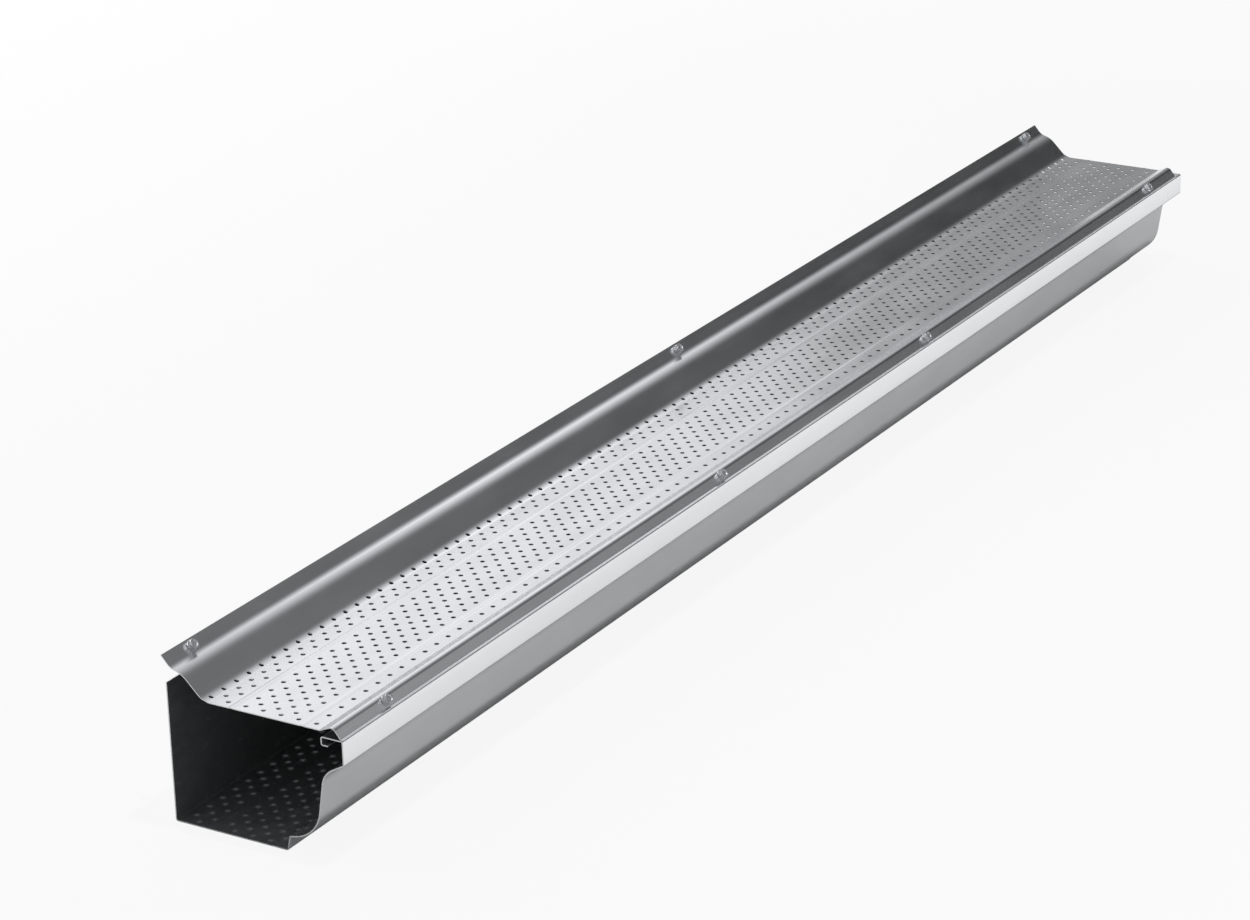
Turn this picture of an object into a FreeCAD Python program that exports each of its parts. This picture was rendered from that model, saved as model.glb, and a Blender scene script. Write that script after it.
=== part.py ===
import FreeCAD, Part
import math
import os
import Sketcher

# A four-foot length of ogee roof gutter with a perforated leaf guard screwed over its mouth.
# X runs along the length, -Y is the front (lip) side, +Y the fascia side, Z is up.
# The origin lies half-way along the trough, on the middle of its flat bottom.
# Sections are drawn in two sizes: forward of the back wall's outer face, and up from the bottom.

SIZES = {
    # Trough: one strip of sheet, roll-formed
    "TroughLength": 1219.2,
    "TroughSheet": 0.8,
    "TroughBend": 1.6,  # outer radius of its folded corners
    "BottomWidth": 83.0,
    "StepHeight": 9.5,  # upright step at the bottom's front edge
    "StepLean": 2.2,
    "BellyRadius": 24.0,  # the front wall's convex curve
    "BellyRise": 3.7,
    "FaceHeight": 43.5,  # leaning face between the belly's and the cove's corners
    "FaceLean": 6.9,
    "CoveRadius": 15.0,  # the concave curve under the lip
    "CoveDepth": 14.9,
    "CoveRise": 8.5,
    "LipHeight": 16.2,
    "HemDepth": 15.8,  # how far the lip's top is turned back
    "HemDrop": 6.0,  # how far it is then turned down
    "HemReturn": 5.0,  # and forward again
    "BackRise": 10.6,  # how far the back wall stands above the lip
    # Guard: one strip of thinner sheet, roll-formed
    "GuardSheet": 0.6,
    "GuardBend": 1.5,  # upper radius of its small bends
    "EndGap": 9.6,  # how much the guard is shorter than the trough, at the far end
    "FlangeBack": 2.0,  # how far the flange's edge stands behind the back wall
    "FlangeReach": 6.2,
    "FlangeRise": 7.2,
    "FlangeRadius": 4.0,
    "ShelfLift": 10.1,  # height of the shelf's rear edge above the back wall
    "ShelfWidth": 8.0,
    "ShelfFall": 1.8,
    "ShelfRadius": 14.0,
    "SlopeWidth": 15.0,
    "PanRadius": 12.0,
    "PanLift": 3.9,  # height of the pan's upper face above the lip
    "RidgeFoot": 16.15,  # distance of the front ridge's foot behind the lip's face
    "CrestInset": 6.7,  # distance of its crest behind the lip's face
    "CrestRise": 4.0,
    "CrestRadius": 4.0,
    "FootLength": 1.3,  # the front edge that lies flat on the lip
    "SeatGap": 0.2,
    "BeadHeight": 0.4,
    "BeadWidth": 4.4,
    "BeadRadius": 4.0,
    "RearBeadInset": 20.15,  # from the pan's rear corner
    "FrontBeadInset": 12.7,  # from the ridge's foot
    # Perforations of the pan
    "HoleDiameter": 3.2,
    "HolePitch": 12.7,
    "RowPitch": 6.35,
    "RowInset": 1.1,  # first row, from the pan's rear corner
    "PunchReach": 3.0,  # how far the punches reach above the pan, for the row in its rear bend
    "EndMargin": 6.35,  # first hole, from the guard's end
    # Hex washer-head screws
    "HexWidth": 6.35,  # across flats
    "HexHeight": 2.9,
    "WasherDiameter": 7.2,
    "WasherHeight": 0.8,
    "ShankDiameter": 4.2,
    "ShankGap": 0.15,
    "PointLength": 4.0,
    "HeadGap": 0.05,
    "FrontScrewLength": 12.7,
    "RearScrewLength": 25.4,
    "FrontScrewEnd": 50.8,  # outer front screws, from the guard's ends
    "FrontScrewSpan": 304.8,  # between the two middle front screws
    "RearScrewEnd": 25.4,
}

# Places that follow from the sizes. The belly's corner stands five sixths of its radius ahead of
# the step, so that the curve starts just past the step.
STEP_TOP = "BottomWidth + StepLean"
BELLY = f"{STEP_TOP} + BellyRadius * 5 / 6"
COVE = f"{BELLY} + FaceLean"
LIP = f"{COVE} + CoveDepth"
BELLY_UP = "StepHeight + BellyRise"
COVE_UP = f"{BELLY_UP} + FaceHeight"
LIP_FOOT_UP = f"{COVE_UP} + CoveRise"
LIP_UP = f"{LIP_FOOT_UP} + LipHeight"
HEM = f"{LIP} - HemDepth"
BACK_UP = f"{LIP_UP} + BackRise"
FLANGE_FOOT = "FlangeReach - FlangeBack"
SHELF_UP = f"{BACK_UP} + ShelfLift"
FLANGE_UP = f"{SHELF_UP} + FlangeRise"
SHELF_EDGE = f"{FLANGE_FOOT} + ShelfWidth"
PAN_EDGE = f"{SHELF_EDGE} + SlopeWidth"
PAN_UP = f"{LIP_UP} + PanLift"
RIDGE = f"{LIP} - RidgeFoot"
CREST = f"{LIP} - CrestInset"
CREST_UP = f"{PAN_UP} + CrestRise"
FOOT = f"{LIP} - FootLength"
FOOT_UP = f"{LIP_UP} + SeatGap + GuardSheet"
REAR_BEAD = f"{PAN_EDGE} + RearBeadInset"
FRONT_BEAD = f"{RIDGE} - FrontBeadInset"
GUARD_LENGTH = "TroughLength - EndGap"
GUARD_MIDDLE = "0 - EndGap / 2"

doc = FreeCAD.newDocument("GutterGuard")
sheet = doc.addObject("Spreadsheet::Sheet", "Sizes")
for row, (alias, amount) in enumerate(SIZES.items(), start=1):
    sheet.set(f"A{row}", alias)
    sheet.set(f"B{row}", str(amount))
    sheet.setAlias(f"B{row}", alias)
doc.recompute()


def value_of(expression):
    """The present value of an expression in the sheet's names."""
    return float(sheet.evalExpression(expression))


def in_sheet(expression):
    """The same expression as another object writes it, with the sheet's name before each alias."""
    written = []
    word = ""
    for letter in expression + " ":
        if letter.isalnum():
            word += letter
            continue
        written.append("Sizes." + word if word[:1].isupper() else word)
        written.append(letter)
        word = ""
    return "".join(written).strip()


def bind(thing, **expressions):
    """Binds each named property of an object to an expression in the sheet's names."""
    for name, expression in expressions.items():
        thing.setExpression(name, in_sheet(expression))


def place(thing, along, forward, up, tilt):
    """Binds an object's place: along the length, forward of the back wall, up, and tilted
    forwards about X by an angle in degrees."""
    about_x = FreeCAD.Rotation(FreeCAD.Vector(1, 0, 0), 1)
    thing.Placement = FreeCAD.Placement(FreeCAD.Vector(0, 0, 0), about_x)
    thing.setExpression("Placement.Base.x", in_sheet(along))
    thing.setExpression("Placement.Base.y", in_sheet(f"BottomWidth / 2 - ({forward})"))
    thing.setExpression("Placement.Base.z", in_sheet(up))
    thing.setExpression("Placement.Rotation.Angle", in_sheet(tilt))


def bend_points(before, corner, after, radius):
    """Where a bend of this radius at a corner starts, has its middle and ends."""
    inward = (corner - before).normalize()
    outward = (after - corner).normalize()
    half_turn = inward.getAngle(outward) / 2
    tangent = radius * math.tan(half_turn)
    middle = corner + (outward - inward).normalize() * (radius / math.cos(half_turn) - radius)
    return corner - inward * tangent, middle, corner + outward * tangent


def section_sketch(name, corners):
    """Draws the open line that a strip's section follows.

    Each corner is (label, forward expression, up expression, bend radius expression or None).
    A corner with a radius becomes a tangent arc, and keeps a construction point at the sharp corner.
    """
    sketch = doc.addObject("Sketcher::SketchObject", name)
    across = FreeCAD.Rotation(
        FreeCAD.Vector(0, -1, 0), FreeCAD.Vector(0, 0, 1), FreeCAD.Vector(-1, 0, 0), "XYZ"
    )
    sketch.Placement = FreeCAD.Placement(FreeCAD.Vector(0, 0, 0), across)
    sketch.setExpression("Placement.Base.y", in_sheet("BottomWidth / 2"))
    points = [FreeCAD.Vector(value_of(forward), value_of(up), 0) for _, forward, up, _ in corners]

    bends = {}
    for i, (_, _, _, radius) in enumerate(corners):
        if radius:
            bends[i] = bend_points(points[i - 1], points[i], points[i + 1], value_of(radius))
    runs = []
    for i in range(len(points) - 1):
        start = bends[i][2] if i in bends else points[i]
        end = bends[i + 1][0] if i + 1 in bends else points[i + 1]
        runs.append(sketch.addGeometry(Part.LineSegment(start, end), False))

    for i, (label, forward, up, radius) in enumerate(corners):
        if radius:
            arc = sketch.addGeometry(Part.Arc(*bends[i]), False)
            starts_first = sketch.getPoint(arc, 1).distanceToPoint(bends[i][0]) < 1e-6
            first, last = (1, 2) if starts_first else (2, 1)
            sketch.addConstraint(Sketcher.Constraint("Tangent", runs[i - 1], 2, arc, first))
            sketch.addConstraint(Sketcher.Constraint("Tangent", arc, last, runs[i], 1))
            bend = sketch.addConstraint(Sketcher.Constraint("Radius", arc, value_of(radius)))
            sketch.renameConstraint(bend, f"{label}_radius")
            sketch.setExpression(f"Constraints.{label}_radius", in_sheet(radius))
            held, end = sketch.addGeometry(Part.Point(points[i]), True), 1
            sketch.addConstraint(Sketcher.Constraint("PointOnObject", held, 1, runs[i - 1]))
            sketch.addConstraint(Sketcher.Constraint("PointOnObject", held, 1, runs[i]))
        elif i == 0:
            held, end = runs[0], 1
        else:
            held, end = runs[i - 1], 2
        for side, tag, expression, amount in (
            ("DistanceX", "forward", forward, points[i].x),
            ("DistanceY", "up", up, points[i].y),
        ):
            distance = sketch.addConstraint(Sketcher.Constraint(side, -1, 1, held, end, amount))
            sketch.renameConstraint(distance, f"{label}_{tag}")
            sketch.setExpression(f"Constraints.{label}_{tag}", in_sheet(expression))
    return sketch


def strip(name, sketch, thickness, length):
    """Thickens a section's line to one side by the sheet's thickness and draws it out along X."""
    skin = doc.addObject("Part::Offset2D", f"{name}_skin")
    skin.Source = sketch
    skin.Mode = "Skin"
    skin.Join = "Intersection"
    skin.Fill = True
    bind(skin, Value=thickness)
    run = doc.addObject("Part::Extrusion", f"{name}_run")
    run.Base = skin
    run.DirMode = "Custom"
    run.Dir = FreeCAD.Vector(1, 0, 0)
    run.Solid = True
    run.Symmetric = True
    bind(run, LengthFwd=length)
    return run


# The trough's outer line, from the top of the back wall round to the edge of the hem
trough_line = section_sketch("trough_line", [
    ("back_top", "0", BACK_UP, None),
    ("back_foot", "0", "0", "TroughBend"),
    ("bottom_front", "BottomWidth", "0", "TroughBend"),
    ("step_top", STEP_TOP, "StepHeight", "TroughBend / 2"),
    ("belly", BELLY, BELLY_UP, "BellyRadius"),
    ("cove", COVE, COVE_UP, "CoveRadius"),
    ("lip_foot", LIP, LIP_FOOT_UP, "TroughBend"),
    ("lip_top", LIP, LIP_UP, "TroughBend"),
    ("hem_back", HEM, LIP_UP, "TroughBend"),
    ("hem_foot", HEM, f"{LIP_UP} - HemDrop", "TroughBend"),
    ("hem_edge", f"{HEM} + HemReturn", f"{LIP_UP} - HemDrop", None),
])
trough_run = strip("trough", trough_line, "TroughSheet", "TroughLength")


def bead_corners(label, middle):
    """The three corners of a raised bead of the pan."""
    return [
        (f"{label}_rear", f"{middle} - BeadWidth / 2", PAN_UP, "BeadRadius"),
        (f"{label}_top", middle, f"{PAN_UP} + BeadHeight", "BeadRadius"),
        (f"{label}_front", f"{middle} + BeadWidth / 2", PAN_UP, "BeadRadius"),
    ]


# The guard's upper line, from the rear flange over the pan and its beads to the foot on the lip
guard_line = section_sketch("guard_line", [
    ("flange_edge", "0 - FlangeBack", FLANGE_UP, None),
    ("flange_foot", FLANGE_FOOT, SHELF_UP, "FlangeRadius"),
    ("shelf_edge", SHELF_EDGE, f"{SHELF_UP} - ShelfFall", "ShelfRadius"),
    ("pan_edge", PAN_EDGE, PAN_UP, "PanRadius"),
    *bead_corners("rear_bead", REAR_BEAD),
    *bead_corners("front_bead", FRONT_BEAD),
    ("ridge_foot", RIDGE, PAN_UP, "GuardBend"),
    ("crest", CREST, CREST_UP, "CrestRadius"),
    ("foot_bend", FOOT, FOOT_UP, "GuardBend / 2"),
    ("front_edge", LIP, FOOT_UP, None),
])
guard_run = strip("guard", guard_line, "0 - GuardSheet", GUARD_LENGTH)
guard_run.setExpression("Placement.Base.x", in_sheet(GUARD_MIDDLE))


def hole_rows():
    """Forward place of each row of perforations, and whether it is shifted by half a pitch.

    Rows are evenly spaced over the pan, and a bead takes the place of any row that it would meet.
    """
    pitch = value_of("RowPitch")
    first = value_of(f"{PAN_EDGE} + RowInset")
    room = value_of(f"{RIDGE} - HoleDiameter / 2 - GuardBend") - first
    beads = [value_of(REAR_BEAD), value_of(FRONT_BEAD)]
    clear = value_of("(BeadWidth + HoleDiameter) / 2")
    rows = []
    for i in range(int(room / pitch) + 1):
        forward = first + i * pitch
        if all(abs(forward - bead) > clear for bead in beads):
            rows.append((forward, i % 2 == 1))
    return rows


def perforations():
    """All the pan's holes as upright punches, longer than the sheet is thick."""
    pitch = value_of("HolePitch")
    usable = value_of(f"{GUARD_LENGTH} - 2 * EndMargin")
    start = value_of("EndMargin - TroughLength / 2")
    foot = value_of(f"{PAN_UP} - 2 * GuardSheet")
    radius = value_of("HoleDiameter / 2")
    depth = value_of("2 * GuardSheet + PunchReach")
    punches = []
    for forward, shifted in hole_rows():
        shift = pitch / 2 if shifted else 0.0
        across = value_of("BottomWidth / 2") - forward
        for column in range(int((usable - shift) / pitch + 1e-6) + 1):
            centre = FreeCAD.Vector(start + shift + column * pitch, across, foot)
            punches.append(Part.makeCylinder(radius, depth, centre))
    return Part.makeCompound(punches)


punches = doc.addObject("Part::Feature", "perforations")
punches.Shape = perforations()

# A screw's seat is the middle of the sloping face that carries its head
FRONT_SEAT = {
    "forward": f"({CREST} + {FOOT}) / 2",
    "up": f"({CREST_UP} + {FOOT_UP}) / 2",
    "tilt": f"atan(({CREST_UP} - ({FOOT_UP})) / ({FOOT} - ({CREST})))",
}
REAR_SEAT = {
    "forward": f"({FLANGE_FOOT} - FlangeBack) / 2",
    "up": f"({FLANGE_UP} + {SHELF_UP}) / 2",
    "tilt": "atan(FlangeRise / FlangeReach)",
}
GUARD_HALF = f"({GUARD_LENGTH}) / 2"
FRONT_SCREWS = {
    "front_screw_1": f"{GUARD_MIDDLE} - {GUARD_HALF} + FrontScrewEnd",
    "front_screw_2": f"{GUARD_MIDDLE} - FrontScrewSpan / 2",
    "front_screw_3": f"{GUARD_MIDDLE} + FrontScrewSpan / 2",
    "front_screw_4": f"{GUARD_MIDDLE} + {GUARD_HALF} - FrontScrewEnd",
}
REAR_SCREWS = {
    "rear_screw_1": f"{GUARD_MIDDLE} - {GUARD_HALF} + RearScrewEnd",
    "rear_screw_2": GUARD_MIDDLE,
    "rear_screw_3": f"{GUARD_MIDDLE} + {GUARD_HALF} - RearScrewEnd",
}


def along_axis(kind, name, foot, **sizes):
    """A primitive on a screw's own axis, with its foot at a height given by an expression."""
    thing = doc.addObject(kind, name)
    bind(thing, **sizes)
    thing.setExpression("Placement.Base.z", in_sheet(foot))
    return thing


def screw(name, along, seat, length):
    """A hex washer-head screw whose washer lies on its seat, and whose shank points into it."""
    washer = along_axis(
        "Part::Cone", f"{name}_washer", "HeadGap",
        Radius1="WasherDiameter / 2", Radius2="(WasherDiameter + HexWidth) / 4", Height="WasherHeight",
    )
    hexagon = along_axis(
        "Part::Prism", f"{name}_hexagon", "HeadGap + WasherHeight",
        Circumradius="HexWidth / 2 / cos(30)", Height="HexHeight",
    )
    shank = along_axis(
        "Part::Cylinder", f"{name}_shank", f"PointLength - {length}",
        Radius="ShankDiameter / 2", Height=f"{length} - PointLength + HeadGap",
    )
    point = along_axis(
        "Part::Cone", f"{name}_point", f"0 - {length}",
        Radius1="ShankDiameter / 20", Radius2="ShankDiameter / 2", Height="PointLength",
    )
    whole = doc.addObject("Part::MultiFuse", name)
    whole.Shapes = [washer, hexagon, shank, point]
    place(whole, along, **seat)
    return whole


def screw_hole(name, along, seat, length):
    """The clearance hole of a screw, from above its washer down to its point."""
    drill = along_axis(
        "Part::Cylinder", f"{name}_drill", f"0 - {length}",
        Radius="ShankDiameter / 2 + ShankGap", Height=f"{length} + WasherHeight",
    )
    hole = doc.addObject("Part::Compound", f"{name}_hole")
    hole.Links = [drill]
    place(hole, along, **seat)
    return hole


def cut_from(name, base, tools):
    """A strip with its holes cut out."""
    together = doc.addObject("Part::Compound", f"{name}_cuts")
    together.Links = tools
    piece = doc.addObject("Part::Cut", name)
    piece.Base = base
    piece.Tool = together
    return piece


nodes = {}
front_holes = []
rear_holes = []
for screws, seat, length, holes in (
    (FRONT_SCREWS, FRONT_SEAT, "FrontScrewLength", front_holes),
    (REAR_SCREWS, REAR_SEAT, "RearScrewLength", rear_holes),
):
    for name, along in screws.items():
        nodes[name] = screw(name, along, seat, length)
        holes.append(screw_hole(name, along, seat, length))
nodes["gutter_trough"] = cut_from("gutter_trough", trough_run, front_holes)
nodes["leaf_guard"] = cut_from("leaf_guard", guard_run, [punches] + front_holes + rear_holes)
doc.recompute()

# Nothing is written unless every object was made and every piece is one valid solid
for thing in doc.Objects:
    if "Invalid" in thing.State or "Error" in thing.State:
        raise RuntimeError(f"{thing.Label} was not made: {thing.State}")
for name, piece in nodes.items():
    piece.Label = name
    shape = piece.Shape
    if shape.isNull() or not shape.isValid() or len(shape.Solids) != 1:
        raise RuntimeError(f"{name} is not one valid solid")
    print(f"{name}: {shape.Volume:.1f} mm3, {len(shape.Faces)} faces, {shape.BoundBox}")

os.makedirs("parts", exist_ok=True)
for name, piece in nodes.items():
    piece.Shape.exportStep(f"parts/{name}.step")
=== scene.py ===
import math

import bpy
import numpy as np
from mathutils import Matrix, Vector


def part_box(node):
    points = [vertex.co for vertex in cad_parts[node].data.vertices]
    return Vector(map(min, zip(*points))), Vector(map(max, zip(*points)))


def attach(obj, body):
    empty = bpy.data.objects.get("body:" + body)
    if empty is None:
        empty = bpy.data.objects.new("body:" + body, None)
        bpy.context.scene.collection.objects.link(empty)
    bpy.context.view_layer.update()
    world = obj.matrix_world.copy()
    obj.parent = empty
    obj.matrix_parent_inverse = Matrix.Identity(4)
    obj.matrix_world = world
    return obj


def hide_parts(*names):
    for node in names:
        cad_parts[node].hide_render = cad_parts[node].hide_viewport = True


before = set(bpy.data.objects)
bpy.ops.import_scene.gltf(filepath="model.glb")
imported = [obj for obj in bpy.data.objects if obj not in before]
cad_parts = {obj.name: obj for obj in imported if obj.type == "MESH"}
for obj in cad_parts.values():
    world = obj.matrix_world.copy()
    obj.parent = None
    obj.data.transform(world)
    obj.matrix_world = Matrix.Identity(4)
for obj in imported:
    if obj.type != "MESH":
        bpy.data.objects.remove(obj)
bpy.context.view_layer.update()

# Gutter trough: one strip of aluminium coil, roll-formed to an ogee gutter with both ends open.
# The coil is mill finished outside, dark grey inside as painted shade, and its ends are sheared.
# The flat bottom stands on the floor, and the lip is turned back and down into a hem.
MM = 0.001
trough_low, trough_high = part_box("gutter_trough")
BACK = trough_high.y / MM
NEAR_END = trough_low.x / MM
FAR_END = trough_high.x / MM
TROUGH_SHEET = 0.8
LIP = 127.0
LIP_UP = 81.4
TROUGH_CORNERS = [
    # forward of the back wall, up from the floor, bend radius, all in mm
    (0.0, 92.0, 0.0),
    (0.0, 0.0, 1.6),
    (83.0, 0.0, 1.6),
    (85.2, 9.5, 0.8),
    (105.2, 13.2, 24.0),
    (112.1, 56.7, 15.0),
    (LIP, 65.2, 1.6),
    (LIP, LIP_UP, 1.6),
    (LIP - 15.8, LIP_UP, 1.6),
    (LIP - 15.8, LIP_UP - 6.0, 1.6),
    (LIP - 10.8, LIP_UP - 6.0, 0.0),
]
TROUGH_STATIONS = 41
BEND_STEP = math.radians(8)
SHARP_TURN = math.radians(35)


def left_of(direction):
    """A quarter turn to the left of each direction: (a, b) becomes (-b, a)."""
    return np.stack([-direction[..., 1], direction[..., 0]], axis=-1)


def bent_line(corners, step=BEND_STEP):
    """Points and left-hand normals of a line whose corners are rounded by tangent arcs.

    An arc starts radius * tan(turn / 2) before its corner. Its centre lies one radius to the side
    that the line turns to, and the normal turns evenly from one run's to the next one's.
    """
    table = np.array(corners, float)
    at, radii = table[:, :2], table[:, 2]
    runs = np.diff(at, axis=0)
    runs /= np.linalg.norm(runs, axis=1)[:, None]
    points, normals = [at[:1]], [left_of(runs[:1])]
    for corner, radius, before, after in zip(at[1:-1], radii[1:-1], runs[:-1], runs[1:]):
        turn = math.atan2(before[0] * after[1] - before[1] * after[0], before @ after)
        if abs(turn) < 1e-6:
            points.append(corner[None])
            normals.append(left_of(before)[None])
            continue
        angles = np.linspace(0, turn, math.ceil(abs(turn) / step) + 1)[:, None]
        start = corner - before * radius * math.tan(abs(turn) / 2)
        centre = start + math.copysign(radius, turn) * left_of(before)
        normal = np.cos(angles) * left_of(before) - np.sin(angles) * before
        points.append(centre - math.copysign(radius, turn) * normal)
        normals.append(normal)
    points.append(at[-1:])
    normals.append(left_of(runs[-1:]))
    return np.concatenate(points), np.concatenate(normals)


def sheet_grid(line, normals, sheet, stations):
    """Vertices of a bent sheet and their outward normals: [face, station, line point].

    The drawn face comes first. The other lies one sheet thickness along the line's normals, and
    forward is towards -Y.
    """
    faces = np.stack([line, line + sheet * normals])
    outward = np.stack([-normals, normals]) * math.copysign(1, sheet)
    grid = np.empty((2, len(stations), len(line), 3))
    grid[..., 0] = np.asarray(stations)[None, :, None]
    grid[..., 1] = BACK - faces[:, None, :, 0]
    grid[..., 2] = faces[:, None, :, 1]
    directions = np.zeros_like(grid)
    directions[..., 1] = -outward[:, None, :, 0]
    directions[..., 2] = outward[:, None, :, 1]
    return grid * MM, directions


def quads_between(first, second):
    """Quads from two equal rows of vertex numbers, in order along the first and back on the second."""
    quads = np.stack([first[..., :-1], first[..., 1:], second[..., 1:], second[..., :-1]], axis=-1)
    return quads.reshape(-1, 4)


def sheet_faces(numbers, sheet):
    """The quads of the drawn face, the other face and all cut edges, with outward normals.

    Side faces step along the line and the stations. A sheet to the left of the line turns them round.
    """
    drawn, other = numbers
    flip = slice(None, None, -1 if sheet > 0 else 1)
    drawn_quads = quads_between(drawn[:-1], drawn[1:])[:, flip]
    other_quads = quads_between(other[1:], other[:-1])[:, flip]
    rims = np.concatenate([
        quads_between(other[:, 0], drawn[:, 0])[:, ::-1],
        quads_between(drawn[:, -1], other[:, -1])[:, ::-1],
        quads_between(other[0], drawn[0])[:, ::-1],
        quads_between(drawn[-1], other[-1])[:, ::-1],
    ])[:, flip]
    return drawn_quads, other_quads, rims


def mesh_piece(name, vertices, groups, materials, normals=None):
    """An object at the origin whose face groups take their materials in order.

    Faces are smooth but for edges that turn sharply. Where the vertices' own normals are given, all
    faces but those of the last material follow them, so that a bend shades as the true curve. The
    last material is that of the cut edges.
    """
    mesh = bpy.data.meshes.new(name)
    sizes = np.concatenate([np.full(len(faces), faces.shape[1]) for _, faces in groups])
    corners = np.concatenate([faces.ravel() for _, faces in groups])
    finish = np.concatenate([np.full(len(faces), index) for index, faces in groups])
    starts = np.concatenate([[0], np.cumsum(sizes)[:-1]])
    mesh.vertices.add(len(vertices))
    mesh.vertices.foreach_set("co", np.asarray(vertices, np.float32).ravel())
    mesh.loops.add(len(corners))
    mesh.loops.foreach_set("vertex_index", corners.astype(np.int32))
    mesh.polygons.add(len(sizes))
    mesh.polygons.foreach_set("loop_start", starts.astype(np.int32))
    mesh.polygons.foreach_set("material_index", finish.astype(np.int32))
    mesh.update(calc_edges=True)
    mesh.validate()
    mesh.shade_smooth()
    mesh.set_sharp_from_angle(angle=SHARP_TURN)
    if normals is not None:
        on_sheet = np.repeat(finish < len(materials) - 1, sizes)
        mesh.normals_split_custom_set(np.where(on_sheet[:, None], normals[corners], 0.0).tolist())
    for material in materials:
        mesh.materials.append(material)
    piece = bpy.data.objects.new(name, mesh)
    bpy.context.scene.collection.objects.link(piece)
    return piece


def linear(colour):
    """An sRGB hex colour as linear red, green, blue and alpha.

    A level up to 0.04045 is divided by 12.92. Above that, 0.055 is added, the sum is divided by
    1.055, and the result is raised to the power 2.4.
    """
    levels = [int(colour[i:i + 2], 16) / 255 for i in (1, 3, 5)]
    return [v / 12.92 if v <= 0.04045 else ((v + 0.055) / 1.055) ** 2.4 for v in levels] + [1.0]


def add(tree, kind, settings, inputs):
    """Adds a node with its settings and inputs.

    The inputs are named in a dict or stand in order in a tuple. A socket is linked, and a node is
    linked by its first output.
    """
    made = tree.nodes.new(kind)
    for name, value in settings.items():
        setattr(made, name, value)
    for name, value in inputs.items() if isinstance(inputs, dict) else enumerate(inputs):
        source = value.outputs[0] if isinstance(value, bpy.types.Node) else value
        if isinstance(source, bpy.types.NodeSocket):
            tree.links.new(source, made.inputs[name])
        else:
            made.inputs[name].default_value = source
    return made


def new_material(name):
    """An empty material and its node tree."""
    material = bpy.data.materials.new(name)
    material.use_nodes = True
    material.node_tree.nodes.clear()
    return material, material.node_tree


def pattern(tree, sizes, *ranges, detail=2.0):
    """A noise on object coordinates whose features have these sizes along X, Y and Z, in mm.

    After the noise comes a number for each range, which goes from the range's first value to its
    second as the noise goes from 0.3 to 0.7, where nearly all of it lies.
    """
    where = add(tree, "ShaderNodeTexCoord", {}, {})
    scale = [1 / (size * MM) for size in sizes]
    placed = add(tree, "ShaderNodeMapping", {}, {"Vector": where.outputs["Object"], "Scale": scale})
    found = add(tree, "ShaderNodeTexNoise", {}, {"Vector": placed, "Scale": 1.0, "Detail": detail})
    noise = found.outputs["Fac"]
    return noise, *[add(tree, "ShaderNodeMapRange", {}, (noise, 0.3, 0.7, *ends)) for ends in ranges]


# Real roll lines are about 0.1 mm apart. They are drawn 0.9 mm apart, so that they just show.
ROLL_LINES = (90.0, 0.9, 0.9)
LINE_DEPTH = 0.004
ROLL_CLOUDS = (70.0, 22.0, 22.0)
FLAT_WAVES = (160.0, 60.0, 60.0)
WAVE_DEPTH = 0.04
ROUGH_SPREAD = 0.015


def rolled_aluminium(name, dull, bright, roughness):
    """Mill-finished aluminium sheet.

    The rolls leave faint lines along the strip, which catch the light as fine streaks, and forming
    leaves the flats very slightly wavy.
    """
    material, tree = new_material(name)
    line_ends = (roughness - ROUGH_SPREAD, roughness + ROUGH_SPREAD)
    lines, line_rough = pattern(tree, ROLL_LINES, line_ends, detail=3.0)
    _, share, cloud_rough = pattern(tree, ROLL_CLOUDS, (0.0, 1.0), (-ROUGH_SPREAD, ROUGH_SPREAD))
    waves = pattern(tree, FLAT_WAVES, detail=0.0)[0]
    tint = add(tree, "ShaderNodeMix", {"data_type": "RGBA"}, {
        "Factor": share, 6: linear(dull), 7: linear(bright),
    })
    rough = add(tree, "ShaderNodeMath", {"operation": "ADD"}, (line_rough, cloud_rough))
    wavy = add(tree, "ShaderNodeBump", {}, {
        "Strength": 1.0, "Distance": WAVE_DEPTH * MM, "Height": waves,
    })
    lined = add(tree, "ShaderNodeBump", {}, {
        "Strength": 0.15, "Distance": LINE_DEPTH * MM, "Height": lines, "Normal": wavy,
    })
    metal = add(tree, "ShaderNodeBsdfPrincipled", {}, {
        "Base Color": tint.outputs[2], "Metallic": 1.0, "Roughness": rough, "Normal": lined,
    })
    add(tree, "ShaderNodeOutputMaterial", {}, {"Surface": metal})
    return material


def mottled_finish(name, sizes, dull, bright, roughness, constants, detail=2.0):
    """A finish that varies over patches of these sizes along X, Y and Z, in mm.

    The colour goes from dull to bright as the roughness goes through its range. The constants are
    set on the shader's own sockets.
    """
    material, tree = new_material(name)
    _, share, rough = pattern(tree, sizes, (0.0, 1.0), roughness, detail=detail)
    tint = add(tree, "ShaderNodeMix", {"data_type": "RGBA"}, {
        "Factor": share, 6: linear(dull), 7: linear(bright),
    })
    surface = add(tree, "ShaderNodeBsdfPrincipled", {}, {
        "Base Color": tint.outputs[2], "Roughness": rough, **constants,
    })
    add(tree, "ShaderNodeOutputMaterial", {}, {"Surface": surface})
    return material


mill_aluminium = rolled_aluminium("mill_finish_aluminium", "#eff1f3", "#f5f6f7", 0.3)
# The strip's hidden side is painted dark grey and half glossy: painted shade for the dim inside of the
# gutter. Light that falls through the perforations shows on it as dim spots.
hidden_side_painted_shade = mottled_finish(
    "hidden_side_painted_shade_coat", (14.0, 9.0, 9.0), "#56585a", "#606264", (0.2, 0.28), {"IOR": 1.5},
)
# Freshly cut metal at the strip's ends, edges and holes is brighter, and finely torn by the shear
cut_aluminium = mottled_finish(
    "sheared_aluminium_edge", (0.6, 0.6, 0.6), "#d8dadc", "#f0f1f2", (0.42, 0.58), {"Metallic": 1.0},
)

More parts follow.
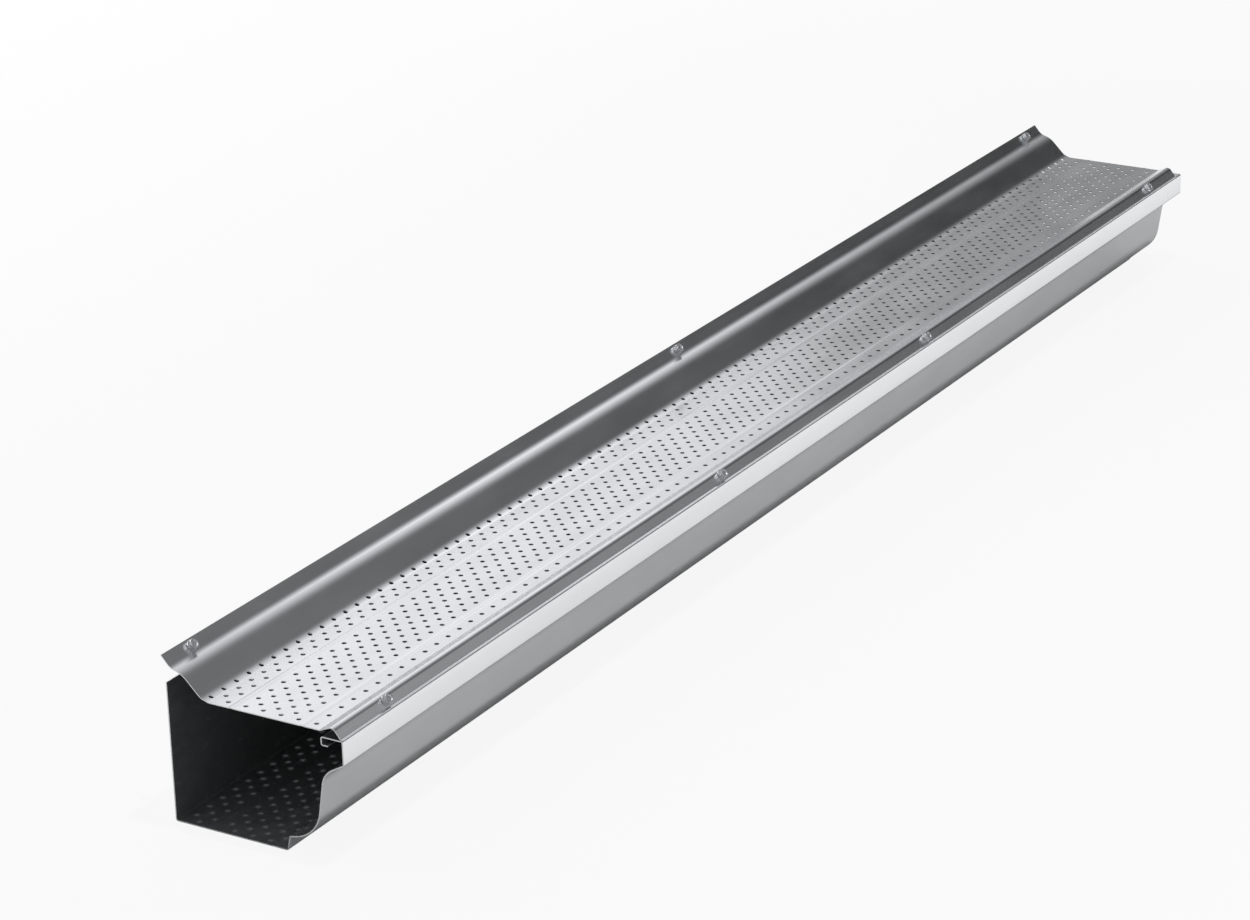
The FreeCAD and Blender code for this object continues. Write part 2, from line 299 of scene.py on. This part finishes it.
trough_line, trough_normals = bent_line(TROUGH_CORNERS)
trough_stations = np.linspace(NEAR_END, FAR_END, TROUGH_STATIONS)
trough_grid, trough_directions = sheet_grid(trough_line, trough_normals, TROUGH_SHEET, trough_stations)
trough_numbers = np.arange(trough_grid.size // 3).reshape(trough_grid.shape[:3])
outside, inside, trough_rims = sheet_faces(trough_numbers, TROUGH_SHEET)
trough = mesh_piece(
    "gutter_trough_sheet", trough_grid.reshape(-1, 3),
    [(0, outside), (1, inside), (2, trough_rims)],
    [mill_aluminium, hidden_side_painted_shade, cut_aluminium], trough_directions.reshape(-1, 3),
)
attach(trough, "root")
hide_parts("gutter_trough")

# Leaf guard: one strip of thinner aluminium coil, roll-formed, with a pan of punched holes.
# Two beads stiffen the pan, and each takes the place of one row of holes.
# Its rear flange leans on the roof's edge, and its front ridge rests on the trough's lip.
guard_low, guard_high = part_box("leaf_guard")
GUARD_START = guard_low.x / MM
GUARD_END = guard_high.x / MM
GUARD_SHEET = 0.6
FLANGE_EDGE = (-2.0, 109.3)
FLANGE_FOOT = (4.2, 102.1)
SHELF_EDGE = (12.2, 100.3)
PAN_EDGE = 27.2
PAN_UP = LIP_UP + 3.9
RIDGE = LIP - 16.15
CREST = (LIP - 6.7, PAN_UP + 4.0)
FOOT = (LIP - 1.3, LIP_UP + 0.8)
HOLE_RADIUS = 1.6
HOLE_PITCH = 12.7
ROW_PITCH = 6.35
FIRST_ROW = PAN_EDGE + 1.1
LAST_ROW = 12
BEAD_ROWS = (3, 11)
BEAD_HALF = 2.2
BEAD_HEIGHT = 0.25
BEAD_BEND = 12.0
CELL_HALF = 2.1  # half the width of the strip of cells that a row of holes is cut in
HOLE_SIDES = 16
FINE_STEP = math.radians(0.5)
PLACE_DIGITS = 4
PLACE_SLACK = 0.01
SHORTEST_BAY = 1.0  # the last bay of stations before the guard's far end is no shorter than this


def row_at(row):
    """How far forward a row of holes, or the bead in its place, lies."""
    return FIRST_ROW + row * ROW_PITCH


def bead_corners(row):
    """The three corners of the bead that takes a row's place."""
    rear, front = row_at(row) - BEAD_HALF, row_at(row) + BEAD_HALF
    return [
        (rear, PAN_UP, BEAD_BEND),
        (row_at(row), PAN_UP + BEAD_HEIGHT, BEAD_BEND),
        (front, PAN_UP, BEAD_BEND),
    ]


guard_corners = [
    # forward of the back wall, up from the floor, bend radius, all in mm
    (*FLANGE_EDGE, 0.0),
    (*FLANGE_FOOT, 9.0),
    (*SHELF_EDGE, 18.0),
    (PAN_EDGE, PAN_UP, 12.0),
    *bead_corners(BEAD_ROWS[0]),
    *bead_corners(BEAD_ROWS[1]),
    (RIDGE, PAN_UP, 1.5),
    (*CREST, 4.0),
    (*FOOT, 0.75),
    (LIP, FOOT[1], 0.0),
]
hole_rows = [row for row in range(LAST_ROW + 1) if row not in BEAD_ROWS]
fine_line, fine_normals = bent_line(guard_corners, FINE_STEP)


def on_guard(face, forward):
    """Height and unit normal of the guard's upper (0) or lower (1) face at these forward places.

    Both are read off the finely stepped line, which always runs forward.
    """
    line = fine_line - face * GUARD_SHEET * fine_normals
    up = np.interp(forward, line[:, 0], line[:, 1])
    normal = np.stack([np.interp(forward, line[:, 0], fine_normals[:, k]) for k in (0, 1)], axis=-1)
    return up, normal / np.linalg.norm(normal, axis=-1, keepdims=True)


def ring_triangles(outer, inner):
    """Triangles between two rings of points about the origin, as numbers into outer, then inner.

    Both rings go round anticlockwise. At each step the ring whose next point has the smaller angle
    moves on, so that every triangle has two points on one ring and one on the other.
    """
    def unrolled(ring):
        """The closed ring's order from its smallest angle on, and the angle each step leads to."""
        angles = np.arctan2(ring[:, 1], ring[:, 0])
        order = np.roll(np.arange(len(ring)), -int(np.argmin(angles)))
        return np.append(order, order[0]), np.append(angles[order[1:]], angles[order[0]] + 2 * math.pi)

    outer_order, outer_next = unrolled(outer)
    inner_order, inner_next = unrolled(inner)
    inner_order += len(outer)
    facing_inner = inner_order[np.searchsorted(inner_next, outer_next, side="left")]
    facing_outer = outer_order[np.searchsorted(outer_next, inner_next, side="right")]
    outer_steps = np.stack([outer_order[:-1], outer_order[1:], facing_inner], axis=1)
    inner_steps = np.stack([inner_order[1:], inner_order[:-1], facing_outer], axis=1)
    return np.concatenate([outer_steps, inner_steps])


def punched_row(grid, numbers, interval, forward, centres, first_number):
    """One row of punched holes between two neighbouring points of the guard's line.

    Each hole takes the two cells beside its station: a ring of triangles on each face, and a wall
    of quads between them. Gives the new vertices and normals, both faces' triangles and the walls.
    """
    turns = np.arange(HOLE_SIDES) * 2 * math.pi / HOLE_SIDES
    circle = np.stack([np.cos(turns), np.sin(turns)], axis=1) * HOLE_RADIUS
    around = [(-1, 1), (0, 1), (1, 1), (1, 0), (0, 0), (-1, 0)]
    middle = np.array([grid[0, centres[0], 0, 0], (BACK - forward) * MM])
    cell = np.array([grid[0, centres[0] + s, interval + k, :2] - middle for s, k in around])
    triangles = ring_triangles(cell / MM, circle)
    rims = first_number + np.arange(2 * len(centres) * HOLE_SIDES).reshape(2, len(centres), HOLE_SIDES)
    new = np.empty((2, len(centres), HOLE_SIDES, 3))
    new[..., 0] = grid[0, centres, 0, 0][None, :, None] + circle[:, 0] * MM
    new[..., 1] = (BACK - forward + circle[:, 1]) * MM
    directions = np.zeros_like(new)
    faces = []
    for face in (0, 1):
        up, normal = on_guard(face, forward - circle[:, 1])
        new[face, ..., 2] = up * MM
        directions[face, ..., 1:] = normal * ([-1, 1] if face == 0 else [1, -1])
        cells = np.stack([numbers[face, centres + s, interval + k] for s, k in around], axis=1)
        around_hole = np.concatenate([cells, rims[face]], axis=1)
        faces.append(around_hole[:, triangles].reshape(-1, 3))
    upper, lower = (np.concatenate([rims[face], rims[face][:, :1]], axis=1) for face in (0, 1))
    walls = quads_between(upper, lower)
    return new.reshape(-1, 3), directions.reshape(-1, 3), faces[0], faces[1][:, ::-1], walls


# The line's points: those of its bends, and both edges of each row's cells, with none inside a cell
bend_places = bent_line(guard_corners)[0][:, 0]
cell_edges = np.array([row_at(row) + side * CELL_HALF for row in hole_rows for side in (-1, 1)])
places = np.unique(np.round(np.concatenate([bend_places, cell_edges]), PLACE_DIGITS))
for row in hole_rows:
    places = places[np.abs(places - row_at(row)) > CELL_HALF - PLACE_SLACK]
heights, guard_normals = on_guard(0, places)
guard_line = np.stack([places, heights], axis=1)
guard_stations = np.arange(GUARD_START, GUARD_END - SHORTEST_BAY, HOLE_PITCH / 2)
guard_stations = np.append(guard_stations, GUARD_END)
guard_grid, guard_directions = sheet_grid(guard_line, guard_normals, -GUARD_SHEET, guard_stations)
guard_numbers = np.arange(guard_grid.size // 3).reshape(guard_grid.shape[:3])
upper_quads, lower_quads, guard_rims = sheet_faces(guard_numbers, -GUARD_SHEET)

guard_vertices, vertex_directions = [guard_grid.reshape(-1, 3)], [guard_directions.reshape(-1, 3)]
upper_rings, lower_rings, hole_walls = [], [], []
kept = np.ones((len(guard_stations) - 1, len(guard_line) - 1), bool)
next_number = guard_grid.size // 3
for row in hole_rows:
    interval = int(np.searchsorted(places, row_at(row))) - 1
    first = 1 if row % 2 == 0 else 2
    centres = np.arange(first, len(guard_stations) - 2, 2)
    new, directions, upper_ring, lower_ring, walls = punched_row(
        guard_grid, guard_numbers, interval, row_at(row), centres, next_number,
    )
    guard_vertices.append(new)
    vertex_directions.append(directions)
    upper_rings.append(upper_ring)
    lower_rings.append(lower_ring)
    hole_walls.append(walls)
    next_number += len(new)
    kept[centres - 1, interval] = False
    kept[centres, interval] = False

# The guard's underside takes the same dark grey painted shade as the trough's inside.
guard = mesh_piece(
    "leaf_guard_sheet", np.concatenate(guard_vertices),
    [
        (0, upper_quads[kept.ravel()]),
        (0, np.concatenate(upper_rings)),
        (1, lower_quads[kept.ravel()]),
        (1, np.concatenate(lower_rings)),
        (2, guard_rims),
        (2, np.concatenate(hole_walls)),
    ],
    [
        rolled_aluminium("roll_formed_aluminium", "#d2d4d7", "#dddfe2", 0.22),
        hidden_side_painted_shade,
        cut_aluminium,
    ],
    np.concatenate(vertex_directions),
)
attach(guard, "root")
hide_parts("leaf_guard")

# Screws: zinc-plated hex washer-head sheet-metal screws, cold-headed and thread-rolled.
# Four hold the ridge to the trough's lip, and three are for the fascia board behind the flange.
# The plating is slightly mottled, with a faint blue cast.
zinc = mottled_finish(
    "zinc_plated_steel", (1.5, 1.5, 1.5), "#aaadb0", "#c2c4c7", (0.42, 0.52), {"Metallic": 1.0},
    detail=3.0,
)
SCREW_SIDES = 36
HEX_ACROSS = 6.2
HEAD_TOP = 3.75
HEX_FOOT = 0.85
DISH_DEPTH = 0.6
DISH_FLOOR_RADIUS = 1.6
DISH_EDGE_RADIUS = 2.1
RIM_RADIUS = 2.9
CHAMFER_SLOPE = 0.6
WASHER_RADIUS = 3.6
HEAD_GAP = 0.05
THREAD_START = 0.4
THREAD_RADIUS = 2.1
ROOT_RADIUS = 1.55
THREAD_PITCH = 1.4
RING_STEP = 0.2
POINT_LENGTH = 4.0
POINT_SHARE = 0.08


def screw_rings(length):
    """Rings of a hex washer-head screw from the head's dished top to its point: [ring, side, xyz].

    The hexagon's radius is half its width over cos(angle from the middle of a flat), and its top
    corners are cut by a cone. The thread is a ridge that climbs one pitch a turn: it is full where
    the phase is within 3/16 of the middle of the pitch, and slopes down to nothing at 1/2. The shank
    tapers evenly over its point's length, down to a small share of its radius.
    """
    turns = np.arange(SCREW_SIDES) * 2 * math.pi / SCREW_SIDES
    hexagon = HEX_ACROSS / 2 / np.cos(turns % (math.pi / 3) - math.pi / 6)
    chamfer = HEAD_TOP - 0.1 - (hexagon - hexagon.min()) * CHAMFER_SLOPE
    level = np.ones(SCREW_SIDES)
    head = [
        (0.3 * level, (HEAD_TOP - DISH_DEPTH) * level),
        (DISH_FLOOR_RADIUS * level, (HEAD_TOP - DISH_DEPTH) * level),
        (DISH_EDGE_RADIUS * level, (HEAD_TOP - 0.1) * level),
        ((DISH_EDGE_RADIUS + 0.2) * level, HEAD_TOP * level),
        (RIM_RADIUS * level, HEAD_TOP * level),
        (hexagon, chamfer),
        (hexagon, (HEX_FOOT + 0.05) * level),
        (WASHER_RADIUS * level, (HEX_FOOT - 0.1) * level),
        (WASHER_RADIUS * level, 0.3 * level),
        ((WASHER_RADIUS - 0.1) * level, HEAD_GAP * level),
        (ROOT_RADIUS * level, HEAD_GAP * level),
    ]
    depths = np.arange(THREAD_START, length, RING_STEP)[:, None]
    phase = (depths / THREAD_PITCH + turns / (2 * math.pi)) % 1.0
    ridge = np.clip(1.6 - 3.2 * np.abs(phase - 0.5), 0.0, 1.0)
    taper = np.clip((length - depths) / POINT_LENGTH, POINT_SHARE, 1.0)
    thread = (ROOT_RADIUS + (THREAD_RADIUS - ROOT_RADIUS) * ridge) * taper
    radii = np.concatenate([np.stack([r for r, _ in head]), thread])
    heights = np.concatenate([np.stack([z for _, z in head]), -depths * level])
    return np.stack([radii * np.cos(turns), radii * np.sin(turns), heights], axis=-1)


def fitted_screw(name, along, forward, up, tilt, length):
    """A screw on its seat, as quads between its rings and a fan of triangles on each end.

    A turn about X by the tilt takes (y, z) to (y cos - z sin, y sin + z cos).
    """
    rings = screw_rings(length)
    count = len(rings)
    ends = np.array([[0.0, 0.0, rings[0, 0, 2]], [0.0, 0.0, -length]])
    local = np.concatenate([rings.reshape(-1, 3), ends])
    turned = np.stack([
        local[:, 0],
        local[:, 1] * math.cos(tilt) - local[:, 2] * math.sin(tilt),
        local[:, 1] * math.sin(tilt) + local[:, 2] * math.cos(tilt),
    ], axis=1)
    numbers = np.arange(count * SCREW_SIDES).reshape(count, SCREW_SIDES)
    closed = np.concatenate([numbers, numbers[:, :1]], axis=1)
    sides = quads_between(closed[:-1], closed[1:])[:, ::-1]
    middle = np.full(SCREW_SIDES, count * SCREW_SIDES)
    top = np.stack([middle, closed[0, :-1], closed[0, 1:]], axis=1)
    tip = np.stack([middle + 1, closed[-1, 1:], closed[-1, :-1]], axis=1)
    vertices = (turned + [along, BACK - forward, up]) * MM
    return mesh_piece(name, vertices, [(0, sides), (0, top), (0, tip)], [zinc])


# The high and the low edge of the slope that the head sits on, and the screw's length
SEATS = {
    "front": (CREST, FOOT, 12.7),
    "rear": (FLANGE_EDGE, FLANGE_FOOT, 25.4),
}
for name in sorted(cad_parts):
    side = name.split("_")[0]
    if side not in SEATS:
        continue
    high, low, length = SEATS[side]
    screw_low, screw_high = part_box(name)
    piece = fitted_screw(
        f"{name}_threaded", (screw_low.x + screw_high.x) / 2 / MM, (high[0] + low[0]) / 2,
        (high[1] + low[1]) / 2, math.atan2(high[1] - low[1], low[0] - high[0]), length,
    )
    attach(piece, "root")
    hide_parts(name)

# The studio floor: pale, and seen as nearly white, with the object's soft shadow on it. Metal mirrors
# it as white too, but for the strip around the gutter, where it mirrors the shadow.
FLOOR_HALF = 12.0
FLOOR_UP = -0.0003
STRIP_HALF = (0.85, 0.085, 0.0)
SMOOTH = {"interpolation_type": "SMOOTHSTEP"}
PRODUCT = {"operation": "MULTIPLY"}
LARGER = {"operation": "MAXIMUM"}

floor_corners = np.array([(-1, -1, 0), (1, -1, 0), (1, 1, 0), (-1, 1, 0)]) * FLOOR_HALF
floor_mesh = bpy.data.meshes.new("floor")
floor_mesh.from_pydata((floor_corners + (0, 0, FLOOR_UP)).tolist(), [], [(0, 1, 2, 3)])
floor = bpy.data.objects.new("floor", floor_mesh)
bpy.context.scene.collection.objects.link(floor)
pale, tree = new_material("pale_studio_floor")
paths = add(tree, "ShaderNodeLightPath", {}, {}).outputs
where = add(tree, "ShaderNodeTexCoord", {}, {}).outputs["Object"]
# How far a point lies outside the strip: the length of its place's excess over the strip's half sides
sideways = add(tree, "ShaderNodeVectorMath", {"operation": "ABSOLUTE"}, (where,))
excess = add(tree, "ShaderNodeVectorMath", {"operation": "SUBTRACT"}, (sideways, STRIP_HALF))
past = add(tree, "ShaderNodeVectorMath", LARGER, (excess, (0.0, 0.0, 0.0)))
away = add(tree, "ShaderNodeVectorMath", {"operation": "LENGTH"}, (past,)).outputs["Value"]
# A smooth step is given by what it follows, where it starts and ends, and its first and last level
camera_white = add(tree, "ShaderNodeMapRange", SMOOTH, (away, 0.0, 1.5, 0.9, 1.0))
metal_white = add(tree, "ShaderNodeMapRange", SMOOTH, (away, 0.035, 0.108, 0.0, 1.0))
to_camera = add(tree, "ShaderNodeMath", PRODUCT, (paths["Is Camera Ray"], camera_white))
mirrored = add(tree, "ShaderNodeMath", LARGER, (paths["Is Glossy Ray"], paths["Is Transmission Ray"]))
to_metal = add(tree, "ShaderNodeMath", PRODUCT, (mirrored, metal_white))
share = add(tree, "ShaderNodeMath", LARGER, (to_camera, to_metal))
matt = add(tree, "ShaderNodeBsdfDiffuse", {}, {"Color": linear("#b8b8b8")})
white = add(tree, "ShaderNodeEmission", {}, {"Color": linear("#ffffff"), "Strength": 1.0})
mixed = add(tree, "ShaderNodeMixShader", {}, (share, matt, white))
add(tree, "ShaderNodeOutputMaterial", {}, {"Surface": mixed})
floor_mesh.materials.append(pale)

# The room: white to the camera, and to metal near the horizon, and else softly lit. It is dim high up
# beyond the far end, which the flange mirrors, and lighter to the rear of that, for the shelf.
world = bpy.data.worlds.new("studio")
bpy.context.scene.world = world
world.use_nodes = True
tree = world.node_tree
tree.nodes.clear()
paths = add(tree, "ShaderNodeLightPath", {}, {}).outputs
towards = add(tree, "ShaderNodeTexCoord", {}, {}).outputs["Generated"]
part = add(tree, "ShaderNodeSeparateXYZ", {}, (towards,)).outputs
# All over, the level falls towards the far end, and it is low between two heights
steepness = add(tree, "ShaderNodeMath", {"operation": "MULTIPLY_ADD"}, (part["X"], 0.8, part["Z"]))
beyond_far_end = add(tree, "ShaderNodeMapRange", SMOOTH, (part["X"], 0.74, 0.87, 0.15, 0.03))
low_down = add(tree, "ShaderNodeMapRange", SMOOTH, (steepness, 0.99, 1.045, 3.2, 1.0))
high_up = add(tree, "ShaderNodeMapRange", SMOOTH, (steepness, 1.06, 1.11, 1.0, 1.35))
lower_part = add(tree, "ShaderNodeMath", PRODUCT, (beyond_far_end, low_down))
general = add(tree, "ShaderNodeMath", PRODUCT, (lower_part, high_up))
# To the rear of the far end it is lighter, most of all in one patch above the pan's reflection
rearwards = add(tree, "ShaderNodeMapRange", SMOOTH, (part["Y"], -0.25, 0.35, 0.0, 0.32))
farwards = add(tree, "ShaderNodeMapRange", SMOOTH, (part["X"], 0.2, 0.6, 0.0, 1.0))
rear_corner = add(tree, "ShaderNodeMath", PRODUCT, (rearwards, farwards))
patch_start = add(tree, "ShaderNodeMapRange", SMOOTH, (part["X"], 0.73, 0.785, 0.6, 3.5))
patch_end = add(tree, "ShaderNodeMapRange", SMOOTH, (part["X"], 0.79, 0.83, 1.0, 0.28))
patch = add(tree, "ShaderNodeMath", PRODUCT, (patch_start, patch_end))
above_pan = add(tree, "ShaderNodeMapRange", SMOOTH, (part["Z"], 0.42, 0.5, 0.0, 1.0))
raised = add(tree, "ShaderNodeMath", {"operation": "MULTIPLY_ADD"}, (patch, above_pan, 1.0))
fade = add(tree, "ShaderNodeMapRange", SMOOTH, (part["X"], 0.8, 0.9, 1.0, 0.5))
fading = add(tree, "ShaderNodeMath", PRODUCT, (fade, raised))
level = add(tree, "ShaderNodeMath", {"operation": "MULTIPLY_ADD"}, (rear_corner, fading, general))
near_horizon = add(tree, "ShaderNodeMapRange", SMOOTH, (part["Z"], 0.02, 0.14, 1.0, 0.0))
mirrored = add(tree, "ShaderNodeMath", LARGER, (paths["Is Glossy Ray"], paths["Is Transmission Ray"]))
to_metal = add(tree, "ShaderNodeMath", PRODUCT, (mirrored, near_horizon))
share = add(tree, "ShaderNodeMath", LARGER, (paths["Is Camera Ray"], to_metal))
dim = add(tree, "ShaderNodeBackground", {}, {"Color": linear("#ffffff"), "Strength": level})
white = add(tree, "ShaderNodeBackground", {}, {"Color": linear("#ffffff"), "Strength": 1.0})
mixed = add(tree, "ShaderNodeMixShader", {}, (share, dim, white))
add(tree, "ShaderNodeOutputWorld", {}, {"Surface": mixed})


def soft_box(name, at, towards, width, height, radiance):
    """A rectangular lamp that faces a point, with the power that gives it this radiance."""
    lamp = bpy.data.lights.new(name, "AREA")
    lamp.shape = "RECTANGLE"
    lamp.size = width
    lamp.size_y = height
    lamp.energy = radiance * math.pi * width * height
    box = bpy.data.objects.new(name, lamp)
    box.location = at
    box.rotation_euler = (Vector(towards) - Vector(at)).to_track_quat("-Z", "Y").to_euler()
    bpy.context.scene.collection.objects.link(box)
    return box


# The pan and the shelf mirror a soft box beyond the far end. One behind the gutter lights the floor
# that the lip mirrors, and the gutter's own shadow falls forward. A small lamp in front and high up
# shines through the perforations, and leaves spots of light on the trough's bottom.
soft_box("far_soft_box", (1.65, 1.33, 1.08), (-0.2, -0.02, 0.09), width=0.9, height=1.3, radiance=0.4)
soft_box("rear_soft_box", (0.0, 2.2, 1.9), (0.0, -0.2, 0.0), width=3.0, height=2.2, radiance=1.4)
soft_box("key_lamp", (-0.35, -0.6, 2.6), (-0.35, 0.0, 0.0), width=0.06, height=0.06, radiance=2700.0)

# The camera stands left of the near end and looks down along the guard. Its place, its directions and
# its lens were fitted to the gutter's edges.
camera_data = bpy.data.cameras.new("camera")
camera_data.sensor_width = 36.0
camera_data.lens = 111.48
camera_data.shift_x = 0.0112
camera_data.clip_end = 60.0
camera = bpy.data.objects.new("camera", camera_data)
camera_right = Vector((0.5146, -0.857, -0.0265)).normalized()
camera_forward = Vector((0.7922, 0.4871, -0.3676)).normalized()
camera_up = camera_right.cross(camera_forward).normalized()
turned = Matrix((camera_right, camera_up, -camera_forward)).transposed()
camera.matrix_world = Matrix.Translation((-2.251, -1.2824, 1.0523)) @ turned.to_4x4()
bpy.context.scene.collection.objects.link(camera)
bpy.context.scene.camera = camera
bpy.context.scene.view_settings.view_transform = "Standard"
